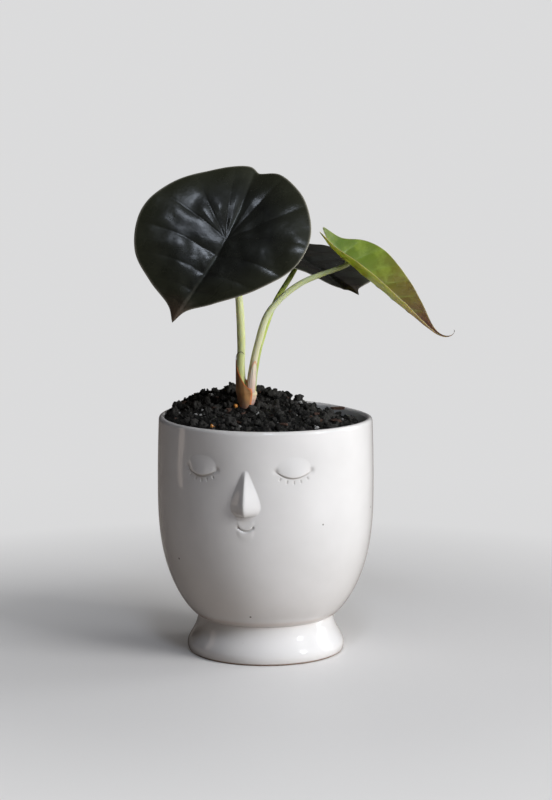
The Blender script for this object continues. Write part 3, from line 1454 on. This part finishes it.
def mirrored(points):
    """A leaf's side swapped left to right."""
    return [(-across, along) for across, along in points]


def stalks():
    """The three leaf stalks, each in its own green."""
    for which, ((points, radii, leaf), *stops) in STALKS.items():
        material = stalk_material(f"{which}_stalk_green", stops)
        stalk(f"{which}_stalk", points, radii, leaf, material, [f"{which}_petiole"])


def sheaths():
    """The old papery sheath with its membrane's edge, and the fresh pale one."""
    papery = sheath_material(
        "papery_sheath_fine",
        foot=(0.34, 0.20, 0.16),
        middle=(0.56, 0.30, 0.12),
        top=(0.20, 0.11, 0.05),
        margin=(0.74, 0.23, 0.08),
    )
    pale = sheath_material(
        "pale_sheath_fine",
        foot=(0.62, 0.42, 0.34),
        middle=(0.86, 0.70, 0.60),
        top=(0.86, 0.80, 0.62),
        margin=(0.80, 0.42, 0.24),
    )
    membrane = sheath_material(
        "sheath_edge",
        foot=(0.10, 0.06, 0.03),
        middle=(0.060, 0.060, 0.040),
        top=(0.10, 0.11, 0.06),
        margin=(0.1, 0.1, 0.1),
    )
    sheath(
        "outer_sheath", outer_sheath_shape, 0.0002, outer_top, 200.0, 112.0, papery,
        ["outer_cataphyll"],
    )
    sheath(
        "inner_sheath", inner_sheath_shape, STEM_HEAD - 0.0010, inner_top, 310.0, 84.0, pale,
        ["inner_cataphyll"],
    )
    sheath_hood(membrane)


def leaves():
    """The two round dark leaves, the back one mirrored, and the folded young one."""
    dark, copper = dark_leaf_material(), young_leaf_material()
    front = leaf_outline(ROUND_LEFT, ROUND_RIGHT)
    back = leaf_outline(mirrored(ROUND_LEFT), mirrored(ROUND_RIGHT)) * BACK_LEAF_SCALE
    young = leaf_outline(YOUNG_HALF, mirrored(YOUNG_HALF))
    blade(
        "front_leaf", FRONT_LEAF, front, ROUND_LATERALS, ROUND_RELIEF, dark,
        ["front_leaf_blade"],
    )
    blade(
        "back_leaf", BACK_LEAF, back, ROUND_LATERALS, ROUND_RELIEF, dark,
        ["back_leaf_blade"],
    )
    blade(
        "young_leaf", YOUNG_LEAF, young, YOUNG_LATERALS, YOUNG_RELIEF, copper,
        ["young_leaf_blade"],
    )


# ---- light, floor and camera ----

CAMERA_TURN = 10.5
CAMERA_DISTANCE = 1.230
CAMERA_PITCH = 14.2
CAMERA_AIM_DOWN = 8.786
CAMERA_AIM_ASIDE = 0.231
CAMERA_LENS = 117.2
SENSOR_HEIGHT = 36.0

WORLD_STRENGTH = 0.80
WORLD_STOPS = (
    (0.0, (0.030, 0.023, 0.018)),
    (0.50, (0.060, 0.052, 0.047)),
    (0.85, (0.250, 0.250, 0.255)),
)


def camera():
    """A long lens a little to the right of the face, looking slightly down."""
    turn = math.radians(CAMERA_TURN)
    made = bpy.data.objects.new("camera", bpy.data.cameras.new("camera"))
    bpy.context.scene.collection.objects.link(made)
    made.location = (
        CAMERA_DISTANCE * math.sin(turn),
        -CAMERA_DISTANCE * math.cos(turn),
        CAMERA_DISTANCE * math.tan(math.radians(CAMERA_PITCH)),
    )
    aim = math.radians(90 - CAMERA_AIM_DOWN), 0.0, math.radians(CAMERA_TURN - CAMERA_AIM_ASIDE)
    made.rotation_euler = aim
    made.data.sensor_fit = "VERTICAL"
    made.data.sensor_height = SENSOR_HEIGHT
    made.data.lens = CAMERA_LENS
    made.data.clip_start = 0.01
    bpy.context.scene.camera = made


def panel(name, around, height, distance, size, power, colour, aim=0.10):
    """A soft rectangular light. Around is its angle from the camera's side, counted towards +X."""
    light = bpy.data.lights.new(name, "AREA")
    light.shape = "RECTANGLE"
    light.size, light.size_y = size
    light.energy = power
    light.color = colour
    made = bpy.data.objects.new(name, light)
    bpy.context.scene.collection.objects.link(made)
    turn = math.radians(CAMERA_TURN + around)
    made.location = (distance * math.sin(turn), -distance * math.cos(turn), height)
    direction = Vector((0.0, 0.0, aim)) - made.location
    made.rotation_euler = direction.to_track_quat("-Z", "Y").to_euler()
    made.visible_camera = False
    return made


def lights():
    """A big soft key from the right, with small lamps that only make highlights."""
    key = panel("key", 56.0, 0.75, 1.60, (0.80, 1.10), 28.0, (0.985, 0.99, 1.0))
    key.visible_glossy = False
    panel("window", 104.0, 0.55, 1.40, (0.50, 1.00), 5.0, (0.97, 0.985, 1.0))
    glints = [
        panel("key_glint", 60.0, 0.80, 1.60, (0.20, 0.36), 2.4, (0.90, 0.95, 1.0)),
        panel("side_glint", -92.0, 0.130, 0.25, (0.040, 0.16), 0.014, (1.0, 0.84, 0.72)),
    ]
    for light in glints:
        light.visible_diffuse = False
    panel("overhead", 5.0, 1.12, 0.77, (0.18, 0.30), 2.5, (0.78, 0.86, 1.0), 0.20)


def studio_world():
    """A dim room, lighter towards +X, with a plain backdrop for the camera itself."""
    world = bpy.data.worlds.new("studio")
    bpy.context.scene.world = world
    world.use_nodes = True
    made = Nodes(world.node_tree)
    split = made.node("SeparateXYZ", {0: made.node("TexCoord", {}, "Generated")}, "X")
    room = made.tree.nodes["Background"]
    room.inputs["Strength"].default_value = WORLD_STRENGTH
    rightwards = made.maths("MULTIPLY_ADD", split, 0.5, 0.5)
    made.feed(room.inputs["Color"], made.ramp(rightwards, *WORLD_STOPS))
    backdrop = made.node("Background", {"Color": BACKDROP_COLOUR})
    surface = made.node("MixShader", {0: made.seen(), 1: room.outputs[0], 2: backdrop})
    made.feed(made.tree.nodes["World Output"].inputs["Surface"], surface)


def floor():
    """A wide disc just under the pot's foot."""
    bm = bmesh.new()
    bmesh.ops.create_circle(bm, cap_ends=True, segments=96, radius=FLOOR_RADIUS)
    mesh = bpy.data.meshes.new("floor")
    bm.to_mesh(mesh)
    bm.free()
    mesh.materials.append(floor_material())
    made = bpy.data.objects.new("floor", mesh)
    made.location.z = cad_box[0][2] - FLOOR_BELOW
    bpy.context.scene.collection.objects.link(made)


def main():
    bpy.context.scene.view_settings.view_transform = "Standard"
    camera()
    lights()
    studio_world()
    floor()
    pot(glaze_material())
    peat = soil_material()
    soil(peat)
    crumbs(peat)
    perlite(perlite_material())
    bark(bark_material())
    beads(bead_material())
    stem(stem_material())
    stalks()
    sheaths()
    leaves()


main()
